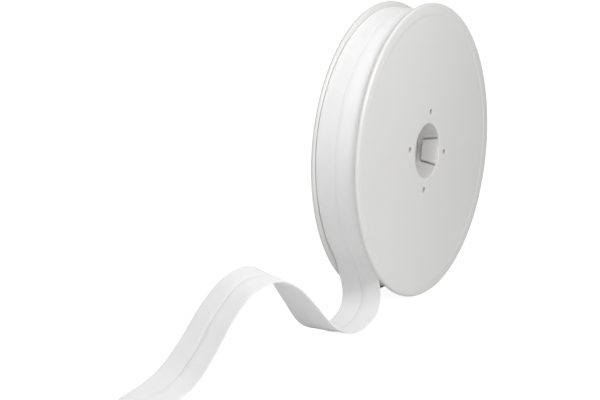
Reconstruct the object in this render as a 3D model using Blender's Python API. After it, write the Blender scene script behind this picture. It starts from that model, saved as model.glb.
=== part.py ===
# A roll of single-fold bias tape on a moulded plastic spool, with its loose end run out in front.
# Metres, +Z up. The spool stands on its rims on the plane z = 0, its axle along X and the front
# flange at +X. The origin is the middle of the flat spot under the front flange.

import math

import bmesh
import bpy
import numpy as np
from mathutils import Matrix

MM = 0.001

# Spool: two like halves that meet at mid width
FLANGE_R = 75.0 * MM
WIDTH = 25.9 * MM
RIM_THICK = 2.4 * MM
RIM_LAND = 5.4 * MM
RIM_STEP = 0.5 * MM
RIM_ROUND = 0.9 * MM
BORE_R = 14.0 * MM
BORE_LIP = 0.5 * MM
WALL = 1.6 * MM
CORE_R = 24.0 * MM
HALF_GAP = 0.15 * MM
WELD = 0.001 * MM
FOOT_WIDTH = 12.0 * MM
SPIN_STEPS = 72

# What is set into each half: four small holes round the bore, and the latch block in it
HOLE_R = 1.45 * MM
HOLE_CIRCLE_R = 20.0 * MM
HOLES = 4
HOLE_SIDES = 16
LATCH_HEIGHT = 12.6 * MM
LATCH_STAND = 1.9 * MM
LATCH_FRONT = 0.9 * MM
LATCH_BACK = 9.4 * MM
LATCH_INSET = 0.1 * MM
SPOOL_TURN = math.radians(-10.0)

# Tape, folded: cut 40 mm wide, both edges turned to the middle of the outer side
TAPE_WIDTH = 20.0 * MM
LAYER = 0.5 * MM
LAYER_GAP = 0.3 * MM
TAPE_THICK = 2 * LAYER + LAYER_GAP
EDGE_MEET_GAP = 0.7 * MM
CLEAR = 0.3 * MM

# Wound roll
ROLL_R = 72.0 * MM
ROLL_CORE_CLEAR = 0.4 * MM
LOOSE_LIFT = 2.4 * MM
LOOSE_AT = math.radians(-15.0)
LOOSE_SPREAD = math.radians(27.0)
LOBE_HEIGHT = 0.35 * MM
PEEL = math.radians(38.0)
STILL_WOUND = math.radians(9.0)
ROLL_STEPS = 90

AXLE_Z = math.sqrt(FLANGE_R**2 - (FOOT_WIDTH / 2) ** 2)
MIDDLE_X = (RIM_THICK - WIDTH) / 2

# The loose end's sections from the roll to the cut end: the tape's middle in millimetres, across
# from the middle of the spool, along Y and up, then how far the section is turned in plan and how
# far it leans, in degrees.
# Turned is positive where the +X edge lies nearer the spool, and lean where that edge is higher.
LOOSE_END = [
    # across, along, up, turned, lean
    (0.0, -51.6, 22.0, 2, 1),
    (1.5, -50.4, 10.5, 7, 1),
    (3.0, -55.5, 3.2, 10, 0),
    (5.0, -65.5, 0.65, 11, 0),
    (7.0, -78.0, 0.65, 9, 0),
    (8.5, -92.0, 3.2, 5, 0),
    (9.0, -107.0, 10.3, 0, 0),
    (8.5, -120.5, 23.5, -6, -3),
    (7.3, -133.5, 36.0, -11, -7),
    (5.0, -146.5, 42.3, -13, -10),
    (1.3, -160.5, 39.6, -13, -9),
    (-2.3, -172.0, 29.5, -10, -9),
    (-5.0, -182.0, 17.5, -7, -10),
    (-7.5, -192.0, 7.8, -4, -11),
    (-9.2, -203.0, 3.3, -3, -9),
    (-10.3, -214.0, 1.8, -4, -5),
    (-11.5, -227.0, 0.65, -5, 0),
    (-13.2, -246.0, 0.65, -5, 0),
]
END_SECTIONS = 54


def clear_scene():
    for old in list(bpy.data.objects):
        bpy.data.objects.remove(old, do_unlink=True)


def plain_material(name, colour, roughness):
    material = bpy.data.materials.new(name)
    material.use_nodes = True
    shader = material.node_tree.nodes["Principled BSDF"]
    shader.inputs["Base Color"].default_value = (*colour, 1.0)
    shader.inputs["Roughness"].default_value = roughness
    shader.inputs["Metallic"].default_value = 0.0
    return material


def new_object(name, mesh, material=None):
    obj = bpy.data.objects.new(name, mesh)
    bpy.context.scene.collection.objects.link(obj)
    if material:
        mesh.materials.append(material)
    return obj


def mesh_from(name, points, faces):
    mesh = bpy.data.meshes.new(name)
    mesh.from_pydata([tuple(point) for point in points], [], faces)
    mesh.validate()
    return mesh


def smooth(mesh, degrees=30):
    mesh.shade_smooth()
    mesh.set_sharp_from_angle(angle=math.radians(degrees))


def arc(centre, radius, start, end, steps):
    """Points on a quarter or half circle, angles in degrees."""
    turns = np.radians(np.linspace(start, end, steps + 1))
    return [(centre[0] + radius * math.cos(t), centre[1] + radius * math.sin(t)) for t in turns]


# Spool halves
def half_profile():
    """Section of one half as (depth behind the outer face, radius), from the bore's deep end, out
    over the front face, round the rim and back along the inner side and the hub's two walls."""
    seam = WIDTH / 2 - HALF_GAP
    face = RIM_STEP
    land_r = FLANGE_R - RIM_LAND
    rim = RIM_ROUND
    points = [(seam, BORE_R), (face + BORE_LIP, BORE_R)]
    points += arc((face + BORE_LIP, BORE_R + BORE_LIP), BORE_LIP, 225, 180, 1)
    points += [(face, land_r - RIM_STEP), (0.0, land_r)]
    points += arc((rim, FLANGE_R - rim), rim, 180, 90, 3)
    points += arc((RIM_THICK - rim, FLANGE_R - rim), rim, 90, 0, 3)
    points += [(RIM_THICK, CORE_R), (seam, CORE_R), (seam, CORE_R - WALL), (RIM_THICK, CORE_R - WALL)]
    points += [(RIM_THICK, BORE_R + WALL), (seam, BORE_R + WALL)]
    return points


def turned_half(name):
    """Turns the section about the axle, here the X axis through the origin, outer face at x = 0."""
    work = bmesh.new()
    loop = [work.verts.new((-depth, 0.0, radius)) for depth, radius in half_profile()]
    edges = [work.edges.new((loop[i - 1], loop[i])) for i in range(len(loop))]
    bmesh.ops.spin(
        work,
        geom=loop + edges,
        cent=(0, 0, 0),
        axis=(1, 0, 0),
        angle=math.tau,
        steps=SPIN_STEPS,
        use_merge=True,
    )
    bmesh.ops.remove_doubles(work, verts=work.verts, dist=WELD)
    bmesh.ops.recalc_face_normals(work, faces=work.faces)
    mesh = bpy.data.meshes.new(name)
    work.to_mesh(mesh)
    work.free()
    return mesh


def box_mesh(name, low, high):
    work = bmesh.new()
    bmesh.ops.create_cube(work, size=1.0)
    for vertex in work.verts:
        for axis in range(3):
            vertex.co[axis] = high[axis] if vertex.co[axis] > 0 else low[axis]
    mesh = bpy.data.meshes.new(name)
    work.to_mesh(mesh)
    work.free()
    return mesh


def hole_cutters(name):
    """Four round cutters through the flange on the hole circle, in one mesh."""
    work = bmesh.new()
    for i in range(HOLES):
        place = (
            Matrix.Rotation(math.tau * i / HOLES, 4, "X")
            @ Matrix.Translation((-RIM_THICK / 2, 0, HOLE_CIRCLE_R))
            @ Matrix.Rotation(math.pi / 2, 4, "Y")
            @ Matrix.Rotation(math.pi / HOLE_SIDES, 4, "Z")
        )
        bmesh.ops.create_cone(
            work,
            cap_ends=True,
            segments=HOLE_SIDES,
            radius1=HOLE_R,
            radius2=HOLE_R,
            depth=3 * RIM_THICK,
            matrix=place,
        )
    mesh = bpy.data.meshes.new(name)
    work.to_mesh(mesh)
    work.free()
    return mesh


def helper(obj):
    obj.hide_render = True
    obj.display_type = "WIRE"
    return obj


def boolean(obj, tool, operation):
    modifier = obj.modifiers.new(tool.name, "BOOLEAN")
    modifier.operation = operation
    modifier.object = tool
    modifier.solver = "EXACT"


def spool_half(name, facing, material):
    """One moulded half. Facing +1 is the front one; the other is the same half turned about Z."""
    about_z = 0.0 if facing > 0 else math.pi
    place = (
        Matrix.Translation((MIDDLE_X + facing * WIDTH / 2, 0, AXLE_Z))
        @ Matrix.Rotation(about_z, 4, "Z")
        @ Matrix.Rotation(SPOOL_TURN, 4, "X")
    )
    obj = new_object(name, turned_half(name), material)
    obj.matrix_world = place

    # The latch is a block on the bore's wall whose flat face stands in towards the axle, and its
    # back corners stay inside that wall
    inner = BORE_R - LATCH_STAND
    outer = math.sqrt((BORE_R + WALL) ** 2 - (LATCH_HEIGHT / 2) ** 2) - LATCH_INSET
    latch = new_object(
        name + "_latch",
        box_mesh(
            name + "_latch",
            (-LATCH_BACK, inner, -LATCH_HEIGHT / 2),
            (-LATCH_FRONT, outer, LATCH_HEIGHT / 2),
        ),
    )
    holes = new_object(name + "_holes", hole_cutters(name + "_holes"))
    for tool in (latch, holes):
        tool.matrix_world = place
        helper(tool)
    boolean(obj, latch, "UNION")
    boolean(obj, holes, "DIFFERENCE")

    # The flat spot that the rim stands on
    foot = new_object(
        name + "_foot",
        box_mesh(name + "_foot", (-WIDTH, -FLANGE_R, -FLANGE_R), (WIDTH, FLANGE_R, 0.0)),
    )
    helper(foot)
    boolean(obj, foot, "DIFFERENCE")
    smooth(obj.data)
    return obj


# Wound tape
def roll_radius(angle):
    """Outer radius of the wound tape. Angle runs from the -Y side down, under the roll, up the
    back and over the top to the peel again. It grows by one tape over the turn, and the slack last
    turn stands a little proud at the front."""
    turn = (angle - PEEL) / math.tau
    back_at_front = angle - math.tau * (angle > math.pi)
    slack = LOOSE_LIFT * math.exp(-(((back_at_front - LOOSE_AT) / LOOSE_SPREAD) ** 2) / 2)
    return ROLL_R - (TAPE_THICK + CLEAR) * (1 - turn) + slack


def lobed_width():
    """(across, drop) points over the roll's outer side: two soft lobes with the line between."""
    half = TAPE_WIDTH / 2
    shape = [(-1.0, 1.0), (-0.93, 0.25), (-0.5, 0.0), (-0.12, 0.25), (0.0, 1.0)]
    left = [(half * at, LOBE_HEIGHT * drop) for at, drop in shape]
    right = [(-at, drop) for at, drop in reversed(left[:-1])]
    return left + right


def build_roll(material):
    """The wound form: rings of points round the axle, closed at the peel by the last turn's end."""
    top = lobed_width()
    inner_r = CORE_R + ROLL_CORE_CLEAR
    half = TAPE_WIDTH / 2
    points = []
    for k in range(ROLL_STEPS + 1):
        angle = PEEL + math.tau * k / ROLL_STEPS
        outer = roll_radius(angle)
        ring = [(-half, inner_r)]
        ring += [(at, outer - drop) for at, drop in top]
        ring += [(half, inner_r)]
        for at, radius in ring:
            along, up = -radius * math.cos(angle), AXLE_Z - radius * math.sin(angle)
            points.append((MIDDLE_X + at, along, up))
    count = len(top) + 2
    last = ROLL_STEPS * count

    # The two bore corners of the last ring are those of the first
    def vertex(ring, j):
        if ring == ROLL_STEPS and j in (0, count - 1):
            return j
        return ring * count + j

    faces = []
    for ring in range(ROLL_STEPS):
        for j in range(count):
            after = (j + 1) % count
            corners = [vertex(ring, j), vertex(ring, after), vertex(ring + 1, after), vertex(ring + 1, j)]
            # At the peel the side walls also pass the lower corner where the next turn begins
            if ring == ROLL_STEPS - 1 and j == 0:
                corners = [vertex(ring, 0), vertex(ring, 1), last + 1, 1, 0]
            if ring == ROLL_STEPS - 1 and after == count - 1:
                corners = [vertex(ring, j), vertex(ring, after), after, j, last + j]
            faces.append(corners)
    for j in range(1, count - 2):
        faces.append([last + j, last + j + 1, j + 1, j])

    work = bmesh.new()
    corners = [work.verts.new(point) for point in points]
    for face in faces:
        work.faces.new([corners[i] for i in face])
    bmesh.ops.delete(work, geom=[v for v in work.verts if not v.link_faces], context="VERTS")
    bmesh.ops.recalc_face_normals(work, faces=work.faces)
    mesh = bpy.data.meshes.new("tape_roll")
    work.to_mesh(mesh)
    work.free()
    smooth(mesh)
    return new_object("tape_roll", mesh, material)


# Loose end
def end_rows():
    """The sections in metres and radians, led by the two where the tape is still on the roll."""
    rows = []
    for back in (STILL_WOUND, 0.0):
        angle = PEEL - back
        radius = roll_radius(angle + math.tau) - TAPE_THICK / 2
        rows.append((0.0, -radius * math.cos(angle), AXLE_Z - radius * math.sin(angle), 0.0, 0.0))
    for across, along, up, turned, lean in LOOSE_END:
        rows.append((across * MM, along * MM, up * MM, math.radians(turned), math.radians(lean)))
    return np.array(rows)


def through(rows, at):
    """A smooth curve through the rows (Catmull-Rom), read where at counts rows from the second."""
    tail = 2 * rows[-1] - rows[-2]
    knots = np.vstack([rows, tail])
    i = np.minimum(at.astype(int), len(rows) - 3) + 1
    t = (at - (i - 1))[:, None]
    before, here, after, beyond = knots[i - 1], knots[i], knots[i + 1], knots[i + 2]
    bend = 2 * before - 5 * here + 4 * after - beyond
    swing = 3 * (here - after) + beyond - before
    return here + 0.5 * t * (after - before + t * (bend + t * swing))


def fold_section():
    """Section of the folded tape as (across, out): the back layer, and the two edges that are
    turned over on its outer side and meet at the middle."""
    half = TAPE_WIDTH / 2
    thick = TAPE_THICK / 2
    hollow = LAYER_GAP / 2
    meet = EDGE_MEET_GAP / 2
    bend = half - thick
    right = [(meet, -thick + LAYER), (meet + (bend - meet) / 2, -thick + LAYER)]
    inner = arc((bend, 0.0), hollow, -90, 90, 3)
    outer = arc((bend, 0.0), thick, 90, -90, 5)
    flap = [(meet + (bend - meet) / 2, hollow), (meet, hollow), (meet, thick)]
    flap += [(meet + (bend - meet) / 2, thick)]
    edge = right + inner + flap + outer
    under = [(bend / 2, -thick)]
    side = edge + under
    mirrored = [(-at, out) for at, out in reversed(side)]
    return side + mirrored


def build_end(material):
    """Carries the folded section along the loose end's line."""
    rows = end_rows()
    at = np.linspace(0.0, len(rows) - 2.0, END_SECTIONS + 1)
    line = through(rows, at)
    middle = line[:, :3] + np.array([MIDDLE_X, 0.0, 0.0])
    middle[0] += CLEAR * np.array([0.0, math.sin(PEEL), -math.cos(PEEL)])
    middle[:, 2] = np.maximum(middle[:, 2], TAPE_THICK / 2)
    turned, lean = line[:, 3], line[:, 4]
    tangent = np.gradient(middle, axis=0)
    tangent /= np.linalg.norm(tangent, axis=1)[:, None]
    across = np.stack(
        [np.cos(turned) * np.cos(lean), np.sin(turned) * np.cos(lean), np.sin(lean)], axis=1
    )
    across -= (across * tangent).sum(axis=1)[:, None] * tangent
    across /= np.linalg.norm(across, axis=1)[:, None]
    out = np.cross(tangent, across)

    section = np.array(fold_section())
    count = len(section)
    points = (
        middle[:, None, :]
        + section[None, :, 0, None] * across[:, None, :]
        + section[None, :, 1, None] * out[:, None, :]
    ).reshape(-1, 3)
    points[:, 2] = np.maximum(points[:, 2], 0.0)

    faces = []
    for ring in range(END_SECTIONS):
        for j in range(count):
            after = (j + 1) % count
            low, high = ring * count, (ring + 1) * count
            faces.append([low + j, low + after, high + after, high + j])
    faces.append(list(range(count))[::-1])
    faces.append([END_SECTIONS * count + j for j in range(count)])
    mesh = mesh_from("tape_end", points, faces)
    work = bmesh.new()
    work.from_mesh(mesh)
    bmesh.ops.triangulate(work, faces=[face for face in work.faces if len(face.verts) > 4])
    bmesh.ops.recalc_face_normals(work, faces=work.faces)
    work.to_mesh(mesh)
    work.free()
    smooth(mesh)
    return new_object("tape_end", mesh, material)


clear_scene()
plastic = plain_material("moulded_plastic", (0.80, 0.80, 0.78), 0.45)
cloth = plain_material("bias_tape", (0.86, 0.86, 0.85), 0.85)
spool_half("spool_front", 1, plastic)
spool_half("spool_back", -1, plastic)
build_roll(cloth)
build_end(cloth)
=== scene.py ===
import math

import bmesh
import bpy
import numpy as np
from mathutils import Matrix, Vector


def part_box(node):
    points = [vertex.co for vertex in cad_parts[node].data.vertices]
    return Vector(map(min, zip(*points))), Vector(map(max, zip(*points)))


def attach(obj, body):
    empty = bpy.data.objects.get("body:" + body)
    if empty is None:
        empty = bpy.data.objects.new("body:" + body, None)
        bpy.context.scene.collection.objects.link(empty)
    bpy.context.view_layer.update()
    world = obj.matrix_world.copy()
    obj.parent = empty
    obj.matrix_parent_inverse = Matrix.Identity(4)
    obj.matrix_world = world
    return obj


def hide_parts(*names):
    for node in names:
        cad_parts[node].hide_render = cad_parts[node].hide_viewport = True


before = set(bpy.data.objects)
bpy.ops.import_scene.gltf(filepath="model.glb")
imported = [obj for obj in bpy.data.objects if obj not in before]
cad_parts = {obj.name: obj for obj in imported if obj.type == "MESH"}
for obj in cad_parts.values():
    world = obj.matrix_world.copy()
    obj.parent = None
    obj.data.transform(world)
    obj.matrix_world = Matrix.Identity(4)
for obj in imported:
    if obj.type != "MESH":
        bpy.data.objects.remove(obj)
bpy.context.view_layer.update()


# The view
# A long lens stands in front of the roll, to the left of the front flange's face, and looks a
# little down on it, as the photograph does.
MM = 0.001
VIEW_AZIMUTH = math.radians(30.758)
VIEW_HEIGHT = math.radians(12.0)
VIEW_AT = Vector((-52.34, -37.92, 50.28)) * MM
VIEW_FROM = 765.44 * MM

lens = bpy.data.cameras.new("view")
lens.lens = 90.0
lens.sensor_width = 36.0
lens.clip_start = 0.05
camera = bpy.data.objects.new("view", lens)
bpy.context.scene.collection.objects.link(camera)
towards = Vector((
    math.sin(VIEW_AZIMUTH) * math.cos(VIEW_HEIGHT),
    -math.cos(VIEW_AZIMUTH) * math.cos(VIEW_HEIGHT),
    math.sin(VIEW_HEIGHT),
))
camera.location = VIEW_AT + towards * VIEW_FROM
camera.rotation_euler = (math.pi / 2 - VIEW_HEIGHT, 0.0, VIEW_AZIMUTH)
bpy.context.scene.camera = camera


# The floor and the light
# A wide white floor, three soft lamps in front of the roll, high, beside its face and low, and
# round them a pale studio that is lit more from some sides than from others. To the lens the
# floor and the studio are plain white, and the floor keeps a faint trace of its shadows.
FLOOR_REACH = 30.0
FLOOR_THROWN = 0.85
FLOOR_GLOW = 0.93
FLOOR_SHADED = 0.40
STUDIO = [
    # side, light from it
    ((0.85, 0.0, 0.53), 0.42),
    ((-1.0, 0.0, 0.0), 0.32),
    ((0.0, 1.0, 0.0), 0.45),
    ((0.0, 0.0, 1.0), 0.38),
]
LAMPS_AIM = Vector((0.0, -0.01, 0.09))
LAMPS = [
    # name, place, size, power
    ("high_lamp", (-0.05, -0.35, 0.40), 0.30, 0.69),
    ("face_lamp", (0.24, -0.12, 0.29), 0.20, 0.61),
    ("low_lamp", (0.05, -0.50, 0.15), 0.30, 0.25),
]


def add_node(tree, kind, **settings):
    """A node of the given kind, with its properties set by name."""
    node = tree.nodes.new(kind)
    for name, value in settings.items():
        setattr(node, name, value)
    return node


def new_material(name):
    """An empty node material with its output, its Principled shader and their link."""
    material = bpy.data.materials.new(name)
    material.use_nodes = True
    tree = material.node_tree
    return material, tree, tree.nodes["Principled BSDF"]


def new_piece(name, mesh, material):
    """An object of the mesh, in the scene and in the material."""
    piece = bpy.data.objects.new(name, mesh)
    bpy.context.scene.collection.objects.link(piece)
    mesh.materials.append(material)
    return piece


floor_paint, tree, shader = new_material("floor_paint")
shader.inputs["Roughness"].default_value = 1.0
shader.inputs["Specular IOR Level"].default_value = 0.0
shader.inputs["Emission Color"].default_value = (1.0, 1.0, 1.0, 1.0)
seen = add_node(tree, "ShaderNodeLightPath")
white = add_node(tree, "ShaderNodeMix", data_type="RGBA")
white.inputs["A"].default_value = (FLOOR_THROWN, FLOOR_THROWN, FLOOR_THROWN, 1.0)
white.inputs["B"].default_value = (FLOOR_SHADED, FLOOR_SHADED, FLOOR_SHADED, 1.0)
tree.links.new(seen.outputs["Is Camera Ray"], white.inputs["Factor"])
tree.links.new(white.outputs["Result"], shader.inputs["Base Color"])
glow = add_node(tree, "ShaderNodeMath", operation="MULTIPLY")
glow.inputs[1].default_value = FLOOR_GLOW
tree.links.new(seen.outputs["Is Camera Ray"], glow.inputs[0])
tree.links.new(glow.outputs["Value"], shader.inputs["Emission Strength"])
floor_mesh = bpy.data.meshes.new("floor")
edge = FLOOR_REACH
corners = [(-edge, -edge, 0), (edge, -edge, 0), (edge, edge, 0), (-edge, edge, 0)]
floor_mesh.from_pydata(corners, [], [(0, 1, 2, 3)])
floor = new_piece("floor", floor_mesh, floor_paint)

# The light from a direction is the sum over the sides of each one's light times the squared
# cosine between the two, and a side gives none to the half of the studio that faces away from it
studio = bpy.data.worlds.new("studio")
studio.use_nodes = True
tree = studio.node_tree
background = tree.nodes["Background"]
direction = add_node(tree, "ShaderNodeTexCoord")
total = None
for side, light in STUDIO:
    cosine = add_node(tree, "ShaderNodeVectorMath", operation="DOT_PRODUCT")
    cosine.inputs[1].default_value = side
    tree.links.new(direction.outputs["Generated"], cosine.inputs[0])
    facing = add_node(tree, "ShaderNodeMath", operation="MAXIMUM")
    facing.inputs[1].default_value = 0.0
    tree.links.new(cosine.outputs["Value"], facing.inputs[0])
    squared = add_node(tree, "ShaderNodeMath", operation="POWER")
    squared.inputs[1].default_value = 2.0
    tree.links.new(facing.outputs["Value"], squared.inputs[0])
    added = add_node(tree, "ShaderNodeMath", operation="MULTIPLY_ADD")
    added.inputs[1].default_value = light
    added.inputs[2].default_value = 0.0
    tree.links.new(squared.outputs["Value"], added.inputs[0])
    if total is not None:
        tree.links.new(total, added.inputs[2])
    total = added.outputs["Value"]
seen = add_node(tree, "ShaderNodeLightPath")
strength = add_node(tree, "ShaderNodeMix", data_type="FLOAT")
strength.inputs["B"].default_value = 1.0
tree.links.new(seen.outputs["Is Camera Ray"], strength.inputs["Factor"])
tree.links.new(total, strength.inputs["A"])
tree.links.new(strength.outputs["Result"], background.inputs["Strength"])
background.inputs["Color"].default_value = (1.0, 1.0, 1.0, 1.0)
bpy.context.scene.world = studio
bpy.context.scene.view_settings.view_transform = "Standard"

for name, at, size, power in LAMPS:
    lamp = bpy.data.lights.new(name, "AREA")
    lamp.shape = "DISK"
    lamp.size = size
    lamp.energy = power
    stand = bpy.data.objects.new(name, lamp)
    bpy.context.scene.collection.objects.link(stand)
    stand.location = at
    stand.rotation_euler = (Vector(at) - LAMPS_AIM).to_track_quat("Z", "Y").to_euler()
    stand.visible_camera = False


# Spool halves
# Two like mouldings in white styrene, pushed together at mid width: a flange with a raised rim,
# half of the double-walled hub, four small holes, and a latch in the bore that stands in from
# its wall between two slots. The mark near the top of the photographed flange is left bare.
front_low, front_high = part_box("spool_front")
back_low, back_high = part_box("spool_back")
FLANGE_R = (front_high.y - front_low.y) / 2
AXLE_Z = front_high.z - FLANGE_R
WIDTH = front_high.x - back_low.x
MIDDLE_X = (front_high.x + back_low.x) / 2
HALF_DEPTH = front_high.x - front_low.x
SPOOL_TURN = math.radians(-10.0)
RIM_THICK = 2.4 * MM
RIM_LAND = 5.4 * MM
RIM_STEP = 0.3 * MM
RISER_RUN = 0.9 * MM
RISER_ROUND = 1.6 * MM
RIM_ROUND = 1.1 * MM
BORE_R = 14.0 * MM
BORE_LIP = 0.5 * MM
WALL = 1.6 * MM
CORE_R = 24.0 * MM
SEAM_ROUND = 0.15 * MM
WALL_ROUND = 0.2 * MM
ROOT_ROUND = 0.3 * MM
HOLE_R = 1.45 * MM
HOLE_CIRCLE_R = 20.0 * MM
HOLES = 4
HOLE_EDGE = 0.25 * MM
HOLE_PLATE = 2.4 * MM
HOLE_PLATE_HALF = 7
PLATE_RINGS = 5
EDGE_RINGS = 5
LATCH_FRONT = 1.1 * MM
LATCH_SLOPE = 4.6 * MM
LATCH_BACK = 9.4 * MM
LATCH_STAND = 1.9 * MM
LATCH_LOW_STAND = 1.1 * MM
LATCH_HALF = math.radians(28.0)
LATCH_NARROWS = 0.20
SLOT_HALF = math.radians(32.5)
SLOT_R = 15.1 * MM
WALL_STEP = 0.12 * MM
LATCH_DEPTHS = [LATCH_FRONT, LATCH_FRONT + WALL_STEP, LATCH_SLOPE, LATCH_BACK, LATCH_BACK + WALL_STEP]
SIDE_STEP = math.radians(0.15)
WELD = 0.002 * MM


def grid_quads(rows, columns, loop_rows=False, loop_columns=False):
    """Corner numbers of the quads between the points of a grid that is kept row by row. A quad
    joins (i, j), (i, j + 1), (i + 1, j + 1) and (i + 1, j), and a loop joins its last to its first."""
    i = np.arange(rows if loop_rows else rows - 1)[:, None]
    j = np.arange(columns if loop_columns else columns - 1)[None, :]
    below = (i + 1) % rows
    right = (j + 1) % columns
    corners = [i * columns + j, i * columns + right, below * columns + right, below * columns + j]
    return np.stack(corners, axis=-1)


def welded(name, surfaces, sharp, weld=WELD, fill=False, flat=None):
    """One closed mesh of several (points, quads) surfaces that share their edges: points nearer
    than the weld become one, open loops are filled if asked, and every face points out. Flat is
    each point's place on the unrolled cloth, kept as the attribute cloth_place."""
    points = np.concatenate([surface[0] for surface in surfaces])
    firsts = np.cumsum([0] + [len(surface[0]) for surface in surfaces])
    quads = [surface[1].reshape(-1, 4) + first for surface, first in zip(surfaces, firsts)]
    mesh = bpy.data.meshes.new(name)
    mesh.from_pydata(points, [], np.concatenate(quads))
    if flat is not None:
        place = mesh.attributes.new("cloth_place", "FLOAT_VECTOR", "POINT")
        place.data.foreach_set("vector", flat.ravel())
    work = bmesh.new()
    work.from_mesh(mesh)
    bmesh.ops.remove_doubles(work, verts=work.verts, dist=weld)
    if fill:
        bmesh.ops.holes_fill(work, edges=work.edges, sides=0)
    bmesh.ops.recalc_face_normals(work, faces=work.faces)
    work.to_mesh(mesh)
    work.free()
    mesh.shade_smooth()
    mesh.set_sharp_from_angle(angle=math.radians(sharp))
    return mesh


def rounded(corners, steps=4):
    """The section's corners (depth, radius, round) with each round drawn in: an arc of that
    radius that touches both sides, its ends round / tan(half the corner's angle) away from it."""
    table = np.array(corners)
    at, size = table[:, :2], table[:, 2]
    before = np.roll(at, 1, axis=0) - at
    after = np.roll(at, -1, axis=0) - at
    before /= np.linalg.norm(before, axis=1)[:, None]
    after /= np.linalg.norm(after, axis=1)[:, None]
    half = np.arccos(np.clip((before * after).sum(axis=1), -1.0, 1.0)) / 2
    inward = before + after
    inward /= np.maximum(np.linalg.norm(inward, axis=1), WELD)[:, None]
    centre = at + inward * (size / np.sin(half))[:, None]
    first = at + before * (size / np.tan(half))[:, None] - centre
    last = at + after * (size / np.tan(half))[:, None] - centre
    sweep = np.maximum(math.pi - 2 * half, SIDE_STEP)[:, None, None]
    t = np.linspace(0.0, 1.0, steps + 1)[None, :, None]
    arcs = (first[:, None] * np.sin((1 - t) * sweep) + last[:, None] * np.sin(t * sweep)) / np.sin(sweep)
    points = (centre[:, None] + arcs).reshape(-1, 2)
    far = np.linalg.norm(points - np.roll(points, 1, axis=0), axis=1) > WELD
    return points[far]


def half_section():
    """(depth, radius) round one half: from the bore's deep end out over the front face, round the
    rim, back along the inner side, and over the hub's two walls."""
    seam = HALF_DEPTH
    face = RIM_STEP
    back = RIM_THICK
    land = FLANGE_R - RIM_LAND
    plate = np.linspace(HOLE_CIRCLE_R - HOLE_PLATE, HOLE_CIRCLE_R + HOLE_PLATE, HOLE_PLATE_HALF + 1)
    corners = [(seam, BORE_R, SEAM_ROUND)]
    corners += [(depth, BORE_R, 0.0) for depth in LATCH_DEPTHS[::-1]]
    corners += [(face, BORE_R, BORE_LIP)]
    corners += [(face, radius, 0.0) for radius in plate]
    corners += [(face, land - RISER_RUN, RISER_ROUND), (0.0, land, RISER_ROUND)]
    corners += [(0.0, FLANGE_R, RIM_ROUND), (back, FLANGE_R, RIM_ROUND)]
    corners += [(back, CORE_R, ROOT_ROUND), (seam, CORE_R, WALL_ROUND), (seam, CORE_R - WALL, WALL_ROUND)]
    corners += [(back, radius, 0.0) for radius in plate[::-1]]
    corners += [(back, BORE_R + WALL, WALL_ROUND), (seam, BORE_R + WALL, WALL_ROUND)]
    return rounded(corners)


def bore_wall(angle, depth):
    """Angle and radius of the bore's wall. It is round, but the latch is a flat face that stands in
    from the wall and slopes back to its front end, and beside it the slots are cut deeper. The
    latch narrows towards its deep end: the angles up to the slots shrink in proportion there, and
    the rest, up to a right angle, take that up."""
    across = np.abs(angle)
    stand = np.interp(depth, LATCH_DEPTHS, [0.0, LATCH_LOW_STAND, LATCH_STAND, LATCH_STAND, 0.0])
    shrunk = np.interp(depth, [LATCH_FRONT, LATCH_BACK, HALF_DEPTH], [0.0, LATCH_NARROWS, 0.0])
    taken = np.interp(across, [0.0, SLOT_HALF, math.pi / 2], [0.0, SLOT_HALF, 0.0])
    narrowed = across - shrunk * taken
    flat = np.minimum((BORE_R - stand) / np.cos(np.minimum(narrowed, LATCH_HALF)), BORE_R)
    beside = (across > LATCH_HALF) & (across < SLOT_HALF) & (stand > 0)
    radius = np.where(beside, SLOT_R, np.where(across < LATCH_HALF, flat, BORE_R))
    return np.sign(angle) * narrowed, radius


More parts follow.
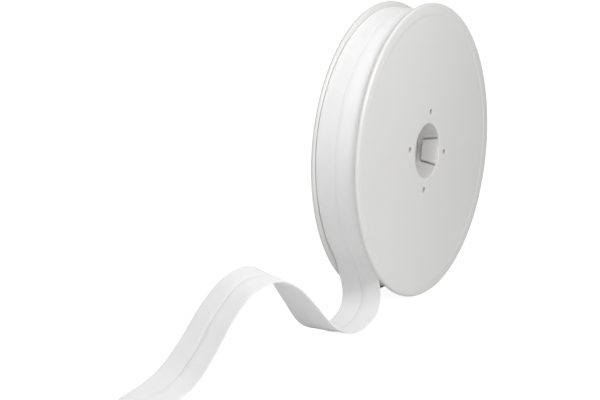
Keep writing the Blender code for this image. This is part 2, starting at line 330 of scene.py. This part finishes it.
def spool_half(name, facing, material):
    """Turns the section about the axle, with a square plate of the web left out at each hole, and
    closes each plate by rings that pass from the square to the round hole and through it."""
    degree = math.radians(1.0)
    even = np.arange(-180, 180) * degree
    sides = [LATCH_HALF - SIDE_STEP, LATCH_HALF + SIDE_STEP, SLOT_HALF - SIDE_STEP, SLOT_HALF + SIDE_STEP]
    angles = np.sort(np.concatenate([even, sides, -np.array(sides)]))
    section = half_section()
    depth = np.repeat(section[:, :1], len(angles), axis=1)
    radius = np.repeat(section[:, 1:], len(angles), axis=1)
    wall = (np.abs(radius - BORE_R) < WELD) & (depth > LATCH_FRONT - WELD)
    wall_angle, wall_radius = bore_wall(angles[None, :], depth)
    angle = np.where(wall, wall_angle, angles[None, :])
    radius = np.where(wall, wall_radius, radius)
    turned = np.stack([-depth, radius * np.cos(angle), radius * np.sin(angle)], axis=-1)
    quads = grid_quads(len(section), len(angles), loop_rows=True, loop_columns=True)

    # The plates lie on the rows of the web that the hole circle crosses
    here = section
    after = np.roll(section, -1, axis=0)
    middle_r = (here[:, 1] + after[:, 1]) / 2
    level = np.abs(here[:, 0] - after[:, 0]) < WELD
    crossed = level & (np.abs(middle_r - HOLE_CIRCLE_R) < HOLE_PLATE)
    between = (angles + SIDE_STEP) % (math.tau / HOLES)
    between = np.minimum(between, math.tau / HOLES - between)
    plate_half = HOLE_PLATE_HALF * degree
    near = between < plate_half - SIDE_STEP / 2
    near |= np.isclose((angles + plate_half) % (math.tau / HOLES), 0.0, atol=WELD)
    cut = crossed[:, None] & near[None, :]
    surfaces = [(turned.reshape(-1, 3), quads[~cut])]

    # One plate's edge: along its low side, up, back along its high side, and down
    low, high = HOLE_CIRCLE_R - HOLE_PLATE, HOLE_CIRCLE_R + HOLE_PLATE
    along = np.arange(-HOLE_PLATE_HALF, HOLE_PLATE_HALF) * degree
    rise = np.linspace(low, high, HOLE_PLATE_HALF + 1)[:-1]
    up_angle = np.full(len(rise), plate_half)
    low_r = np.full(len(along), low)
    high_r = np.full(len(along), high)
    edge_angle = np.concatenate([along, up_angle, -along, -up_angle])
    edge_radius = np.concatenate([low_r, rise, high_r, high + low - rise])
    edge_out = edge_radius * np.cos(edge_angle) - HOLE_CIRCLE_R
    edge_side = edge_radius * np.sin(edge_angle)
    ray = np.arctan2(edge_side, edge_out)

    # Rings from the front plate through the hole to the inner one: how far each has passed from
    # the square to the round, the round's radius and its depth
    bend = np.radians(np.linspace(0.0, 90.0, EDGE_RINGS))
    spread = np.linspace(0.0, 1.0, PLATE_RINGS + 1)[:-1]
    passed = np.concatenate([spread, np.ones(2 * EDGE_RINGS), spread[::-1]])
    plate_r = np.full(PLATE_RINGS, HOLE_R + HOLE_EDGE)
    mouth_r = HOLE_R + HOLE_EDGE * (1 - np.sin(bend))
    ring_r = np.concatenate([plate_r, mouth_r, mouth_r[::-1], plate_r])
    front = np.full(PLATE_RINGS, RIM_STEP)
    back = np.full(PLATE_RINGS, RIM_THICK)
    sunk = HOLE_EDGE * (1 - np.cos(bend))
    ring_depth = np.concatenate([front, RIM_STEP + sunk, RIM_THICK - sunk[::-1], back])
    out = HOLE_CIRCLE_R + (1 - passed)[:, None] * edge_out + (passed * ring_r)[:, None] * np.cos(ray)
    side = (1 - passed)[:, None] * edge_side + (passed * ring_r)[:, None] * np.sin(ray)
    for hole in range(HOLES):
        turn = math.tau * hole / HOLES
        y = out * math.cos(turn) - side * math.sin(turn)
        z = out * math.sin(turn) + side * math.cos(turn)
        ring = np.stack([-np.repeat(ring_depth[:, None], len(ray), axis=1), y, z], axis=-1)
        surfaces.append((ring.reshape(-1, 3), grid_quads(len(ring_depth), len(ray), loop_columns=True)))

    # Into its place: turned with the spool, the back half faced about, the foot flattened
    placed = []
    for points, faces in surfaces:
        x, y, z = points.T
        across = MIDDLE_X + facing * (x + WIDTH / 2)
        forward = facing * (y * math.cos(SPOOL_TURN) - z * math.sin(SPOOL_TURN))
        height = AXLE_Z + y * math.sin(SPOOL_TURN) + z * math.cos(SPOOL_TURN)
        placed.append((np.stack([across, forward, np.maximum(height, 0.0)], axis=-1), faces))
    piece = new_piece(name, welded(name, placed, sharp=32), material)
    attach(piece, "root")
    return piece


def uneven_tone():
    """Shader group: a soft cloudy tone and a fine grain, as masks around a half, from a position
    and the scale of each noise there."""
    group = bpy.data.node_groups.new("uneven_tone", "ShaderNodeTree")
    group.interface.new_socket("Position", in_out="INPUT", socket_type="NodeSocketVector")
    group.interface.new_socket("Cloud Scale", in_out="INPUT", socket_type="NodeSocketFloat")
    group.interface.new_socket("Grain Scale", in_out="INPUT", socket_type="NodeSocketFloat")
    group.interface.new_socket("Cloud", in_out="OUTPUT", socket_type="NodeSocketFloat")
    group.interface.new_socket("Grain", in_out="OUTPUT", socket_type="NodeSocketFloat")
    entry = add_node(group, "NodeGroupInput")
    leave = add_node(group, "NodeGroupOutput")
    for scale, result, detail in (("Cloud Scale", "Cloud", 3.0), ("Grain Scale", "Grain", 2.0)):
        noise = add_node(group, "ShaderNodeTexNoise")
        noise.inputs["Detail"].default_value = detail
        group.links.new(entry.outputs["Position"], noise.inputs["Vector"])
        group.links.new(entry.outputs[scale], noise.inputs["Scale"])
        group.links.new(noise.outputs["Fac"], leave.inputs[result])
    return group


tone = uneven_tone()
PLASTIC_PALE = (0.740, 0.737, 0.722, 1.0)
PLASTIC_DEEP = (0.710, 0.707, 0.692, 1.0)
PLASTIC_CLOUDS = 35.0
PLASTIC_GRAIN = 2600.0
GRAIN_LOW = 0.3
GRAIN_HIGH = 0.7
GLOSSIEST = 0.28
DULLEST = 0.38
GRAIN_STRENGTH = 0.06
GRAIN_DEPTH = 0.05 * MM
plastic, tree, shader = new_material("spool_styrene")
shader.inputs["IOR"].default_value = 1.5
position = add_node(tree, "ShaderNodeTexCoord")
mottle = add_node(tree, "ShaderNodeGroup", node_tree=tone)
mottle.inputs["Cloud Scale"].default_value = PLASTIC_CLOUDS
mottle.inputs["Grain Scale"].default_value = PLASTIC_GRAIN
tree.links.new(position.outputs["Object"], mottle.inputs["Position"])
colour = add_node(tree, "ShaderNodeMix", data_type="RGBA")
colour.inputs["A"].default_value = PLASTIC_DEEP
colour.inputs["B"].default_value = PLASTIC_PALE
tree.links.new(mottle.outputs["Cloud"], colour.inputs["Factor"])
tree.links.new(colour.outputs["Result"], shader.inputs["Base Color"])
gloss = add_node(tree, "ShaderNodeMapRange")
gloss.inputs["From Min"].default_value = GRAIN_LOW
gloss.inputs["From Max"].default_value = GRAIN_HIGH
gloss.inputs["To Min"].default_value = GLOSSIEST
gloss.inputs["To Max"].default_value = DULLEST
tree.links.new(mottle.outputs["Grain"], gloss.inputs["Value"])
tree.links.new(gloss.outputs["Result"], shader.inputs["Roughness"])
grain = add_node(tree, "ShaderNodeBump")
grain.inputs["Strength"].default_value = GRAIN_STRENGTH
grain.inputs["Distance"].default_value = GRAIN_DEPTH
tree.links.new(mottle.outputs["Grain"], grain.inputs["Height"])
tree.links.new(grain.outputs["Normal"], shader.inputs["Normal"])

front_half = spool_half("spool_half_front", 1, plastic)
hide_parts("spool_front")
back_half = spool_half("spool_half_back", -1, plastic)
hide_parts("spool_back")


# Wound tape
# About 25 m of white cotton tape, cut on the bias, both edges pressed to the middle, wound on the
# hub with the folded edges outwards. Only the last turn shows, with the line between its two edges.
TAPE_HALF = 10.0 * MM
LAYER = 0.26 * MM
CORE_CLEAR = 0.4 * MM
ROLL_R = 72.0 * MM
PEEL = math.radians(38.0)
LOOSE_LIFT = 2.4 * MM
LOOSE_AT = math.radians(-15.0)
LOOSE_SPREAD = math.radians(27.0)
TURNS = 83
ROLL_STEPS = 180
VALLEY_WOUND = 0.12 * MM
VALLEY_LOOSE = 0.44 * MM
VALLEY_HALF = 1.0 * MM
SLIT_DEPTH = 0.08 * MM
PRESSED_WIDER = 0.3 * MM
DROOP_FRONT = 1.5 * MM
DROOP_REACH = 4.0 * MM
RISE_BACK = 0.4 * MM
TURN_VALLEY = 0.14 * MM
TURN_STRAY = 0.16 * MM
TURN_WELD = 5 * WELD
STRAY_SEED = 7
FLAP_POINTS = 14
FLAP_CROWDS = 0.8
FOLD_POINTS = 5
RIPPLE = 0.030 * MM
RIPPLES = [
    # along for one radian, radians across for a millimetre, start, share of the height
    (7.3 * MM, 0.35, 0.5, 1.0),
    (4.1 * MM, -0.22, 2.1, 0.6),
    (11.9 * MM, 0.11, 4.0, 1.2),
]
LINE_STRAYS = [
    # how far, along for one radian, start
    (0.22 * MM, 9.7 * MM, 0.4),
    (0.14 * MM, 3.7 * MM, 1.9),
]
LINE_HALF = 0.030 * MM
LINE_HALF_VARIES = (0.018 * MM, 6.1 * MM, 0.8)


def slack(angle):
    """How far the last turn stands proud: a bell curve round the front of the roll."""
    from_front = (angle + math.pi) % math.tau - math.pi
    return LOOSE_LIFT * np.exp(-(((from_front - LOOSE_AT) / LOOSE_SPREAD) ** 2) / 2)


def ripple(across, along):
    """Height of the cloth's shallow waves: a few long sines at odd angles to the tape."""
    waves = 0.0
    for run, slant, start, share in RIPPLES:
        waves = waves + share * np.sin(along / run + slant * across / MM + start)
    return RIPPLE * waves


def line_middle(along):
    """Where the two pressed edges meet, across the tape: slow sines take it a little either way."""
    return sum(far * np.sin(along / run + start) for far, run, start in LINE_STRAYS)


def line_half(along):
    """Half of the slit between the two edges, which a sine opens and closes along the tape."""
    far, run, start = LINE_HALF_VARIES
    return LINE_HALF + far * np.sin(along / run + start)


def valley(across, along, loose=0.0):
    """Depth of the bell-shaped valley that the line lies in, deeper where the tape is loose."""
    from_line = (across - line_middle(along)) / VALLEY_HALF
    return (VALLEY_WOUND + (VALLEY_LOOSE - VALLEY_WOUND) * loose) * np.exp(-(from_line**2))


def edge_drop(across):
    """Drop of the wound tape to either side: the edge at the front flange droops, by a power of e
    of the way in from it, and the edge at the back flange rises as a parabola."""
    droop = DROOP_FRONT * np.exp((np.maximum(across, 0.0) - TAPE_HALF) / DROOP_REACH)
    rise = RISE_BACK * (np.minimum(across, 0.0) / TAPE_HALF) ** 2
    return droop - rise


ROLL_END_R = ROLL_R + float(slack(np.array(PEEL)))
GROWTH = (ROLL_END_R - CORE_R - CORE_CLEAR) / (TURNS + 1)


def roll_radius(turn):
    """Outer radius after so much of the last turn, which runs from the peel and to it again."""
    return ROLL_R - GROWTH * (1 - turn) + slack(PEEL + math.tau * turn)


def wound_tape(name, material):
    """Rings of points round the axle, one for each step of the last turn. A ring runs over the
    last turn's outer side, down one side over every turn's edge, a ridge and a valley for each,
    across the hub, and up the other side. Each point lies one turn further out a turn later, so
    the last ring meets the first one turn down, and only the two cut ends are left to fill."""
    turn = np.linspace(0.0, 1.0, ROLL_STEPS + 1)[:, None]
    angle = PEEL + math.tau * turn
    along = (turn - 1) * math.tau * ROLL_R
    outer_r = roll_radius(turn)

    # The outer side: folded edge, flap, slit, flap, folded edge
    half = TAPE_HALF + PRESSED_WIDER
    fold_r = GROWTH / 2
    bend = np.radians(np.linspace(0.0, 90.0, FOLD_POINTS))
    flap = np.linspace(0.0, 1.0, FLAP_POINTS)[None, :] ** FLAP_CROWDS
    edge_in = half - fold_r
    slit_l = line_middle(along) - line_half(along)
    slit_r = line_middle(along) + line_half(along)
    left = -edge_in + flap * (slit_l + edge_in)
    right = edge_in + flap * (slit_r - edge_in)
    fold_at = np.repeat((fold_r * np.cos(bend) + edge_in)[None, :-1], len(turn), axis=0)
    fold_drop = np.repeat((fold_r * (1 - np.sin(bend)))[None, :-1], len(turn), axis=0)
    level = np.zeros_like(left)
    slit_drop = np.full_like(slit_l, SLIT_DEPTH)
    across = np.concatenate([-fold_at, left, slit_l, slit_r, right[:, ::-1], fold_at[:, ::-1]], axis=1)
    drop = np.concatenate([fold_drop, level, slit_drop, slit_drop, level, fold_drop[:, ::-1]], axis=1)
    drop = drop + valley(across, along) + edge_drop(across) - ripple(across, along)
    radius = outer_r - drop

    # The sides: every turn's edge is a ridge, with a valley between it and the next, and strays a
    # little but for the outermost. The ridges droop and rise with the last turn's edges, in
    # proportion to how far out they are wound
    half_turns = np.arange(1, 2 * TURNS)[None, :]
    wound = TURNS + turn - half_turns / 2
    share_out = (wound - 0.5) / (TURNS + 1)
    core_r = CORE_R + CORE_CLEAR
    right_r = core_r + (ROLL_R + slack(angle) - edge_drop(half) - core_r) * share_out
    left_r = core_r + (ROLL_R + slack(angle) - edge_drop(-half) - core_r) * share_out
    random = np.random.default_rng(STRAY_SEED)
    stray = random.uniform(0.0, TURN_STRAY, (2, TURNS + 2))
    stray[:, TURNS - 1:] = 0.0
    sunk = TURN_VALLEY * (half_turns % 2)
    counted = np.arange(TURNS + 2)
    right_side = half - sunk - np.interp(wound, counted, stray[0])
    left_side = half - sunk - np.interp(wound, counted, stray[1])
    across = np.concatenate([across, right_side, -left_side[:, ::-1]], axis=1)
    radius = np.concatenate([radius, right_r, left_r[:, ::-1]], axis=1)

    points = np.stack([
        MIDDLE_X + across,
        -radius * np.cos(angle),
        AXLE_Z - radius * np.sin(angle),
    ], axis=-1)
    quads = grid_quads(ROLL_STEPS + 1, across.shape[1], loop_columns=True)
    flat = np.stack([across, np.repeat(along, across.shape[1], axis=1), 0 * across], axis=-1)
    surfaces = [(points.reshape(-1, 3), quads)]
    mesh = welded(name, surfaces, sharp=40, weld=TURN_WELD, fill=True, flat=flat.reshape(-1, 3))
    piece = new_piece(name, mesh, material)
    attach(piece, "root")
    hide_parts("tape_roll")
    return piece


SLUB_SCALE = 0.5
SLUB_SHORTENS = 0.05


def plain_weave():
    """Shader group: threads both ways at 45 degrees to the tape. With u and v counted in threads
    along the two ways, the height of a crossing is |sin(pi u) sin(pi v)|, a small pillow, and a
    thread's slub is noise drawn out along it."""
    group = bpy.data.node_groups.new("plain_weave", "ShaderNodeTree")
    group.interface.new_socket("Place", in_out="INPUT", socket_type="NodeSocketVector")
    group.interface.new_socket("Threads", in_out="INPUT", socket_type="NodeSocketVector")
    group.interface.new_socket("Height", in_out="OUTPUT", socket_type="NodeSocketFloat")
    group.interface.new_socket("Slub", in_out="OUTPUT", socket_type="NodeSocketFloat")
    entry = add_node(group, "NodeGroupInput")
    leave = add_node(group, "NodeGroupOutput")
    turned = add_node(group, "ShaderNodeMapping", vector_type="POINT")
    turned.inputs["Rotation"].default_value = (0.0, 0.0, math.pi / 4)
    group.links.new(entry.outputs["Place"], turned.inputs["Vector"])
    counted = add_node(group, "ShaderNodeVectorMath", operation="MULTIPLY")
    group.links.new(turned.outputs["Vector"], counted.inputs[0])
    group.links.new(entry.outputs["Threads"], counted.inputs[1])
    half_wave = add_node(group, "ShaderNodeVectorMath", operation="SCALE")
    half_wave.inputs["Scale"].default_value = math.pi
    group.links.new(counted.outputs["Vector"], half_wave.inputs["Vector"])
    wave = add_node(group, "ShaderNodeVectorMath", operation="SINE")
    group.links.new(half_wave.outputs["Vector"], wave.inputs["Vector"])
    ways = add_node(group, "ShaderNodeSeparateXYZ")
    group.links.new(wave.outputs["Vector"], ways.inputs["Vector"])
    crossing = add_node(group, "ShaderNodeMath", operation="MULTIPLY")
    group.links.new(ways.outputs["X"], crossing.inputs[0])
    group.links.new(ways.outputs["Y"], crossing.inputs[1])
    pillow = add_node(group, "ShaderNodeMath", operation="ABSOLUTE")
    group.links.new(crossing.outputs["Value"], pillow.inputs[0])
    group.links.new(pillow.outputs["Value"], leave.inputs["Height"])
    slubs = []
    for drawn_out in ((SLUB_SHORTENS, 1.0, 1.0), (1.0, SLUB_SHORTENS, 1.0)):
        stretched = add_node(group, "ShaderNodeVectorMath", operation="MULTIPLY")
        stretched.inputs[1].default_value = drawn_out
        group.links.new(counted.outputs["Vector"], stretched.inputs[0])
        noise = add_node(group, "ShaderNodeTexNoise")
        noise.inputs["Scale"].default_value = SLUB_SCALE
        group.links.new(stretched.outputs["Vector"], noise.inputs["Vector"])
        slubs.append(noise.outputs["Fac"])
    both = add_node(group, "ShaderNodeMix", data_type="FLOAT")
    group.links.new(slubs[0], both.inputs["A"])
    group.links.new(slubs[1], both.inputs["B"])
    group.links.new(both.outputs["Result"], leave.inputs["Slub"])
    return group


CLOTH_PALE = (0.850, 0.850, 0.848, 1.0)
CLOTH_DEEP = (0.805, 0.805, 0.803, 1.0)
THREADS_A_METRE = 2900.0
THREAD_STRENGTH = 0.45
THREAD_HEIGHT = 0.06 * MM
CLOTH_CLOUDS = 260.0
CLOTH_GRAIN = 1500.0
PUCKER_STRENGTH = 0.25
PUCKER_HEIGHT = 0.3 * MM
LIGHT_RUNS = 0.5 * MM
cloth, tree, shader = new_material("bias_cotton")
shader.inputs["Roughness"].default_value = 0.9
shader.inputs["Sheen Weight"].default_value = 0.05
shader.inputs["Subsurface Weight"].default_value = 1.0
shader.inputs["Subsurface Radius"].default_value = (1.0, 1.0, 1.0)
shader.inputs["Subsurface Scale"].default_value = LIGHT_RUNS
place = add_node(tree, "ShaderNodeAttribute", attribute_name="cloth_place")
weave = add_node(tree, "ShaderNodeGroup", node_tree=plain_weave())
weave.inputs["Threads"].default_value = (THREADS_A_METRE, THREADS_A_METRE, 0.0)
tree.links.new(place.outputs["Vector"], weave.inputs["Place"])
colour = add_node(tree, "ShaderNodeMix", data_type="RGBA")
colour.inputs["A"].default_value = CLOTH_DEEP
colour.inputs["B"].default_value = CLOTH_PALE
tree.links.new(weave.outputs["Slub"], colour.inputs["Factor"])
tree.links.new(colour.outputs["Result"], shader.inputs["Base Color"])
mottle = add_node(tree, "ShaderNodeGroup", node_tree=tone)
mottle.inputs["Cloud Scale"].default_value = CLOTH_CLOUDS
mottle.inputs["Grain Scale"].default_value = CLOTH_GRAIN
tree.links.new(place.outputs["Vector"], mottle.inputs["Position"])
puckers = add_node(tree, "ShaderNodeBump")
puckers.inputs["Strength"].default_value = PUCKER_STRENGTH
puckers.inputs["Distance"].default_value = PUCKER_HEIGHT
tree.links.new(mottle.outputs["Cloud"], puckers.inputs["Height"])
threads = add_node(tree, "ShaderNodeBump")
threads.inputs["Strength"].default_value = THREAD_STRENGTH
threads.inputs["Distance"].default_value = THREAD_HEIGHT
tree.links.new(weave.outputs["Height"], threads.inputs["Height"])
tree.links.new(puckers.outputs["Normal"], threads.inputs["Normal"])
tree.links.new(threads.outputs["Normal"], shader.inputs["Normal"])
wound_tape("wound_tape", cloth)


# Loose end
# The same tape where it has run off the front of the roll: it drops to the floor, bends, lies on
# it, rises in one hump and lies down again to its plain cut end. Off the roll the fold springs
# open a little between its layers.

# Each row is a place along it: the middle of its underside in millimetres, across from the middle
# of the spool, along Y and up, then how far it is turned in plan and how far it leans, in degrees.
LOOSE_END = [
    # across, along, up, turned, lean
    (0.0, -51.6, 21.35, 2, 1),
    (2.2, -50.4, 9.85, 7, 1),
    (3.5, -55.5, 2.55, 10, 0),
    (5.0, -65.5, 0.0, 11, 0),
    (7.0, -78.0, 0.0, 9, 0),
    (8.5, -92.0, 2.55, 5, 0),
    (9.0, -107.0, 9.65, 0, 0),
    (8.5, -120.5, 22.85, -6, -3),
    (7.3, -133.5, 35.35, -11, -7),
    (5.0, -146.5, 41.65, -13, -10),
    (1.3, -160.5, 38.95, -13, -9),
    (-2.3, -172.0, 28.85, -10, -9),
    (-5.0, -182.0, 16.85, -7, -10),
    (-7.5, -192.0, 7.15, -4, -11),
    (-9.2, -203.0, 2.65, -3, -9),
    (-10.3, -214.0, 1.15, -4, -5),
    (-11.5, -227.0, 0.0, -5, 0),
    (-13.2, -246.0, 0.0, -5, 0),
]
STATIONS = 321
HOLLOW_WOUND = 0.04 * MM
HOLLOW_LOOSE = 0.24 * MM
HOLLOW_OVER = 30.0 * MM
SLIT_OPENS = 0.8
END_GAP = 0.02 * MM
OFF_FLOOR = 0.03 * MM
MIDDLE_OFF_FLOOR = 2 * OFF_FLOOR + LAYER + HOLLOW_LOOSE / 2
LOOSE_CROWDS = 1.25
BEND_POINTS = 11
CROOK_POINTS = 7


def through(rows, at):
    """A smooth curve through the rows (Catmull-Rom), read where at counts rows from the second."""
    knots = np.vstack([rows, 2 * rows[-1] - rows[-2]])
    i = np.minimum(at.astype(int), len(rows) - 3) + 1
    t = (at - (i - 1))[:, None]
    before, here, after, beyond = knots[i - 1], knots[i], knots[i + 1], knots[i + 2]
    bend = 2 * before - 5 * here + 4 * after - beyond
    swing = 3 * (here - after) + beyond - before
    return here + 0.5 * t * (after - before + t * (bend + t * swing))


def folded_half():
    """The right half of the folded section as two runs of points, one over the outside and one
    along the inside. The outer run goes from the slit over the flap, round the fold and under the
    back layer to the middle; the inner run goes from the middle along the back layer, round the
    fold's inside and along the flap to the slit.
    A point's columns are: fixed across, share of the slit's place, fixed out, share of the hollow
    in across, share of the hollow in out, and whether it lies on the flap."""
    reach = TAPE_HALF - LAYER
    to_fold = np.linspace(1.0, 0.0, FLAP_POINTS) ** LOOSE_CROWDS
    to_slit = to_fold[::-1]
    inward = np.linspace(1.0, 0.0, FLAP_POINTS)
    outward = inward[::-1]
    bend = np.radians(np.linspace(90.0, -90.0, BEND_POINTS))[1:-1]
    crook = np.radians(np.linspace(-90.0, 90.0, CROOK_POINTS))[1:-1]

    def run(*columns):
        """The points of a run, from columns that hold a value for each point or one for all."""
        return np.stack(np.broadcast_arrays(*columns), axis=1)

    over = run(reach * (1 - to_fold), to_fold, LAYER, (to_fold - 1) / 2, 0.5, 1.0)
    turned = run(
        reach + LAYER * np.cos(bend),
        0.0,
        LAYER * np.sin(bend),
        (np.cos(bend) - 1) / 2,
        np.sin(bend) / 2,
        (1 + np.sin(bend)) / 2,
    )
    under = run(reach * inward, 0.0, -LAYER, -inward / 2, -0.5, 0.0)
    inside = run(reach * outward, 0.0, 0.0, -outward / 2, -0.5, 0.0)
    hollow = run(
        reach,
        0.0,
        0.0,
        (np.cos(crook) - 1) / 2,
        np.sin(crook) / 2,
        (1 + np.sin(crook)) / 2,
    )
    lid = run(reach * (1 - to_slit), to_slit, 0.0, (to_slit - 1) / 2, 0.5, 1.0)
    return np.concatenate([over, turned, under]), np.concatenate([inside, hollow, lid])


def loose_tape(name, material):
    """Carries the folded section along the loose end's line. The section's across direction is
    turned and leans as the row says, square to the line, and its out side is the one the flaps
    are on. The hollow between the layers opens over the first stretch off the roll."""
    table = np.array(LOOSE_END, dtype=float)
    rows = np.column_stack([table[:, :3] * MM, np.radians(table[:, 3:])])
    rows[:, 2] += MIDDLE_OFF_FLOOR

    # The line starts at the peel and leaves the roll as a tangent. Its slope there is half the step
    # from the row before to the row after, so the row before is set back along the roll's own way
    ago = np.array([-SIDE_STEP, 0.0])
    angle = PEEL + ago
    radius = roll_radius(1.0 + ago / math.tau) - LAYER - HOLLOW_WOUND / 2
    at = np.stack([0 * angle, -radius * np.cos(angle), AXLE_Z - radius * np.sin(angle)], axis=-1)
    way = (at[1] - at[0]) / np.linalg.norm(at[1] - at[0])
    peel = np.concatenate([at[1], [0.0, 0.0]])
    before = rows[0].copy()
    before[:3] -= 2 * np.linalg.norm(rows[0, :3] - at[1]) * way
    rows = np.vstack([before, peel, rows])
    line = through(rows, np.linspace(0.0, len(rows) - 2.0, STATIONS))
    middle = line[:, :3] + np.array([MIDDLE_X, 0.0, 0.0])
    middle[0] += END_GAP * np.array([0.0, math.sin(PEEL), -math.cos(PEEL)])
    middle[:, 2] = np.maximum(middle[:, 2], MIDDLE_OFF_FLOOR)
    steps = np.linalg.norm(np.diff(middle, axis=0), axis=1)
    along = np.concatenate([[0.0], np.cumsum(steps)])[:, None]
    tangent = np.gradient(middle, axis=0)
    tangent /= np.linalg.norm(tangent, axis=1)[:, None]
    turned, lean = line[:, 3], line[:, 4]
    level_share = np.cos(lean)
    across_way = np.stack([np.cos(turned) * level_share, np.sin(turned) * level_share, np.sin(lean)], axis=1)
    across_way -= (across_way * tangent).sum(axis=1)[:, None] * tangent
    across_way /= np.linalg.norm(across_way, axis=1)[:, None]
    out_way = np.cross(tangent, across_way)

    opened = np.clip(along / HOLLOW_OVER, 0.0, 1.0)
    opened = opened**2 * (3 - 2 * opened)
    hollow = HOLLOW_WOUND + (HOLLOW_LOOSE - HOLLOW_WOUND) * opened
    outer, inner = folded_half()

    def half_at(run, side):
        """A run's points on one side, all along the tape: how far each is across and out."""
        fixed, slit, out, spread, lift, flap = (column[None, :] for column in run.T)
        slit_at = line_middle(along) + side * line_half(along) * (1 + SLIT_OPENS * opened)
        wider = (1 - slit) * (1 - opened) * PRESSED_WIDER * fixed / TAPE_HALF
        across = side * (fixed + spread * hollow + wider) + slit * slit_at
        share = flap + (1 - flap) * (1 - opened / 2)
        sunk = share * valley(across, along, opened) + (1 - opened) * edge_drop(across)
        return across, out + lift * hollow - sunk + ripple(across, along)

    parts = [half_at(outer, 1), half_at(outer[::-1][1:], -1)]
    parts += [half_at(inner[::-1], -1), half_at(inner[1:], 1)]
    across = np.concatenate([part[0] for part in parts], axis=1)
    out = np.concatenate([part[1] for part in parts], axis=1)
    points = middle[:, None] + across[..., None] * across_way[:, None] + out[..., None] * out_way[:, None]
    points[..., 2] = np.maximum(points[..., 2], OFF_FLOOR)
    flat = np.stack([across, np.repeat(along, across.shape[1], axis=1), 0 * across], axis=-1)
    quads = grid_quads(STATIONS, across.shape[1], loop_columns=True)
    surfaces = [(points.reshape(-1, 3), quads)]
    mesh = welded(name, surfaces, sharp=40, fill=True, flat=flat.reshape(-1, 3))
    piece = new_piece(name, mesh, material)
    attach(piece, "root")
    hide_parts("tape_end")
    return piece


loose_tape("loose_tape", cloth)
